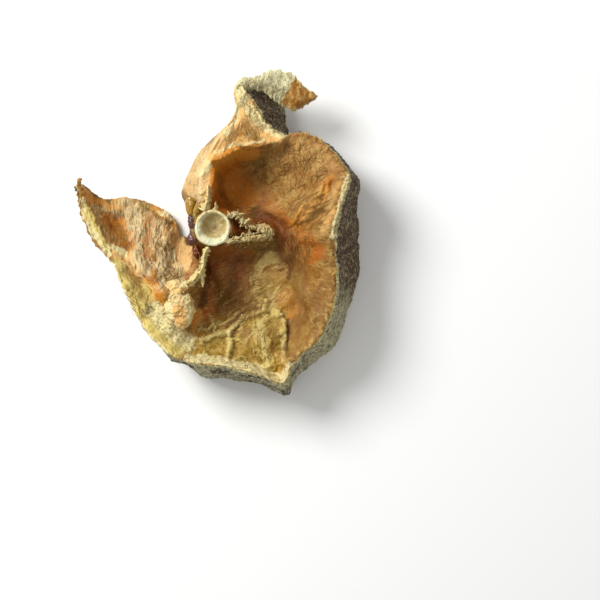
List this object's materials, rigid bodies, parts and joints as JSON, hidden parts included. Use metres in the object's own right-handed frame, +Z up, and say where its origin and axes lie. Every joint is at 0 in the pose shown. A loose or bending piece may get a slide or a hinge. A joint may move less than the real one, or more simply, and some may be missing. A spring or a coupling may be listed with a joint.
{
  "type": "stockfish steak",
  "caption": "Thick slice of air-dried cod with its belly open: two sunken loins, curled belly flaps, grey skin and a cupped backbone standing in the cut face.",
  "frame": {"origin": "under the middle of the slice's box, on the surface it lies on", "axes": "+Z up out of the upper cut face; +Y towards the upper belly flap; +X towards the back of the fish"},
  "size_m": [0.105, 0.1178, 0.0324],
  "materials": {
    "flesh": "translucent amber dried flesh with cream edges, half glossy",
    "skin": "matte grey-brown scaled fish skin",
    "lining": "silvery wrinkled belly lining over amber flesh, half glossy",
    "bone": "pale dry bone, matte"
  },
  "bodies": {
    "root": {"steak": "flesh", "backbone": "bone"}
  },
  "joints": []
}
